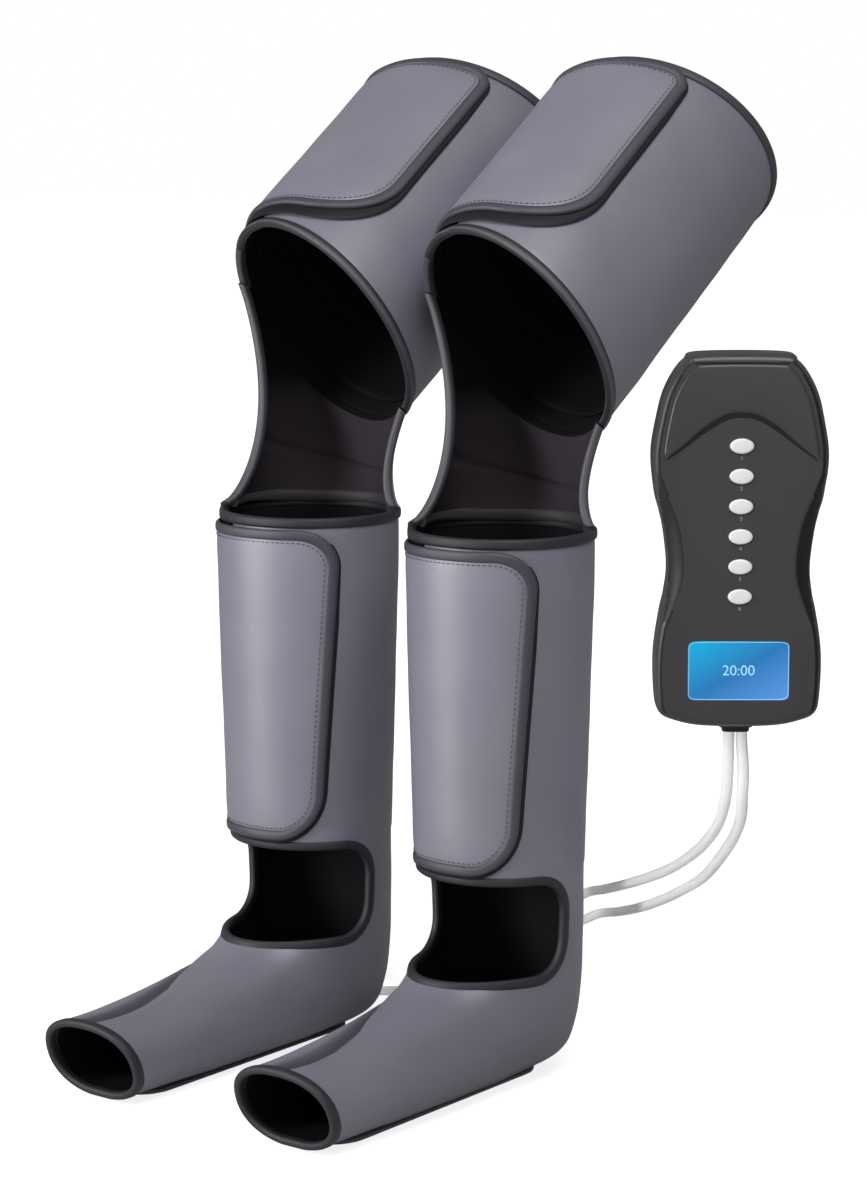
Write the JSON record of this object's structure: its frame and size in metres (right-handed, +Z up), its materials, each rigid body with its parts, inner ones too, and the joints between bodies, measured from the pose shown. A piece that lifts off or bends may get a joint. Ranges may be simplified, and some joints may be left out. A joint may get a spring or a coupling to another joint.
{
  "type": "air compression leg massager",
  "caption": "Full-leg air compression boots with hinged thigh cuffs and flaps, a handheld control unit with oval buttons and a display, and air hoses.",
  "frame": {"origin": "middle of the base of the boots and the handset, on the floor", "axes": "+Z up, toes towards -Y, the handset at +X"},
  "size_m": [0.7187, 0.5486, 0.7737],
  "materials": {
    "outer_cloth": "satin coated polyester",
    "binding_tape": "satin woven tape",
    "knee_cloth": "soft knitted cloth",
    "hook_tape": "hook and loop",
    "air_film": "coated film",
    "sole_foam": "stitched foam pad",
    "black_plastic": "fine grain",
    "white_plastic": "smooth",
    "screen": "clear lens over a blue display",
    "green_board": "solder mask",
    "pump_steel": "plated",
    "hose_vinyl": "translucent soft vinyl"
  },
  "bodies": {
    "boots_and_handset": {"left_foot_shell": "outer_cloth", "left_sole_pad": "sole_foam", "left_foot_air_chamber": "air_film", "left_toe_binding": "binding_tape", "left_ankle_binding": "binding_tape", "left_calf_shell": "outer_cloth", "left_calf_air_chamber": "air_film", "left_calf_top_binding": "binding_tape", "left_calf_hook_strip": "hook_tape", "left_knee_panel": "knee_cloth", "left_air_inlet": "black_plastic", "left_hose": "hose_vinyl", "left_hose_coil": "hose_vinyl", "left_hose_tail": "hose_vinyl", "right_foot_shell": "outer_cloth", "right_sole_pad": "sole_foam", "right_foot_air_chamber": "air_film", "right_toe_binding": "binding_tape", "right_ankle_binding": "binding_tape", "right_calf_shell": "outer_cloth", "right_calf_air_chamber": "air_film", "right_calf_top_binding": "binding_tape", "right_calf_hook_strip": "hook_tape", "right_knee_panel": "knee_cloth", "right_air_inlet": "black_plastic", "right_hose": "hose_vinyl", "right_hose_coil": "hose_vinyl", "right_hose_tail": "hose_vinyl", "front_cover": "black_plastic", "rear_cover": "black_plastic", "display_lens": "screen", "display_module": "black_plastic", "circuit_board": "green_board", "air_pump": "pump_steel", "valve_block": "white_plastic", "hose_gland": "black_plastic"},
    "left_thigh_cuff": {"left_thigh_shell": "outer_cloth", "left_thigh_air_chamber": "air_film", "left_thigh_top_binding": "binding_tape", "left_thigh_lower_binding": "binding_tape", "left_thigh_hook_strip": "hook_tape"},
    "left_thigh_flap": {"left_thigh_flap": "outer_cloth", "left_thigh_flap_binding": "binding_tape"},
    "left_calf_flap": {"left_calf_flap": "outer_cloth", "left_calf_flap_binding": "binding_tape"},
    "right_thigh_cuff": {"right_thigh_shell": "outer_cloth", "right_thigh_air_chamber": "air_film", "right_thigh_top_binding": "binding_tape", "right_thigh_lower_binding": "binding_tape", "right_thigh_hook_strip": "hook_tape"},
    "right_thigh_flap": {"right_thigh_flap": "outer_cloth", "right_thigh_flap_binding": "binding_tape"},
    "right_calf_flap": {"right_calf_flap": "outer_cloth", "right_calf_flap_binding": "binding_tape"},
    "button_1": {"button_1": "white_plastic"},
    "button_2": {"button_2": "white_plastic"},
    "button_3": {"button_3": "white_plastic"},
    "button_4": {"button_4": "white_plastic"},
    "button_5": {"button_5": "white_plastic"},
    "button_6": {"button_6": "white_plastic"}
  },
  "joints": [
    {"name": "left_knee_fold", "type": "hinge", "parent": "boots_and_handset", "child": "left_thigh_cuff", "pos_m": [-0.05504, 0.06809, 0.47], "axis": [1, 0, 0], "range_deg": [-35, 55], "deforming": ["left_knee_panel"]},
    {"name": "left_thigh_flap_hinge", "type": "hinge", "parent": "left_thigh_cuff", "child": "left_thigh_flap", "pos_m": [-0.12383, 0.00168, 0.63594], "axis": [0, -0.8151, -0.5793], "range_deg": [0, 85]},
    {"name": "left_calf_flap_hinge", "type": "hinge", "parent": "boots_and_handset", "child": "left_calf_flap", "pos_m": [-0.11722, -0.04281, 0.291], "axis": [0, 0, -1], "range_deg": [0, 100]},
    {"name": "right_knee_fold", "type": "hinge", "parent": "boots_and_handset", "child": "right_thigh_cuff", "pos_m": [-0.24404, 0.06809, 0.47], "axis": [1, 0, 0], "range_deg": [-35, 55], "deforming": ["right_knee_panel"]},
    {"name": "right_thigh_flap_hinge", "type": "hinge", "parent": "right_thigh_cuff", "child": "right_thigh_flap", "pos_m": [-0.31283, 0.00168, 0.63594], "axis": [0, -0.8151, -0.5793], "range_deg": [0, 85]},
    {"name": "right_calf_flap_hinge", "type": "hinge", "parent": "boots_and_handset", "child": "right_calf_flap", "pos_m": [-0.30622, -0.04281, 0.291], "axis": [0, 0, -1], "range_deg": [0, 100]},
    {"name": "button_1_press", "type": "slide", "parent": "boots_and_handset", "child": "button_1", "axis": [-0.6157, 0.788, 0], "range_m": [0, 0.001], "stiffness_N_per_m": 300, "springref_m": -0.0003},
    {"name": "button_2_press", "type": "slide", "parent": "boots_and_handset", "child": "button_2", "axis": [-0.6157, 0.788, 0], "range_m": [0, 0.001], "stiffness_N_per_m": 300, "springref_m": -0.0003},
    {"name": "button_3_press", "type": "slide", "parent": "boots_and_handset", "child": "button_3", "axis": [-0.6157, 0.788, 0], "range_m": [0, 0.001], "stiffness_N_per_m": 300, "springref_m": -0.0003},
    {"name": "button_4_press", "type": "slide", "parent": "boots_and_handset", "child": "button_4", "axis": [-0.6157, 0.788, 0], "range_m": [0, 0.001], "stiffness_N_per_m": 300, "springref_m": -0.0003},
    {"name": "button_5_press", "type": "slide", "parent": "boots_and_handset", "child": "button_5", "axis": [-0.6157, 0.788, 0], "range_m": [0, 0.001], "stiffness_N_per_m": 300, "springref_m": -0.0003},
    {"name": "button_6_press", "type": "slide", "parent": "boots_and_handset", "child": "button_6", "axis": [-0.6157, 0.788, 0], "range_m": [0, 0.001], "stiffness_N_per_m": 300, "springref_m": -0.0003}
  ]
}
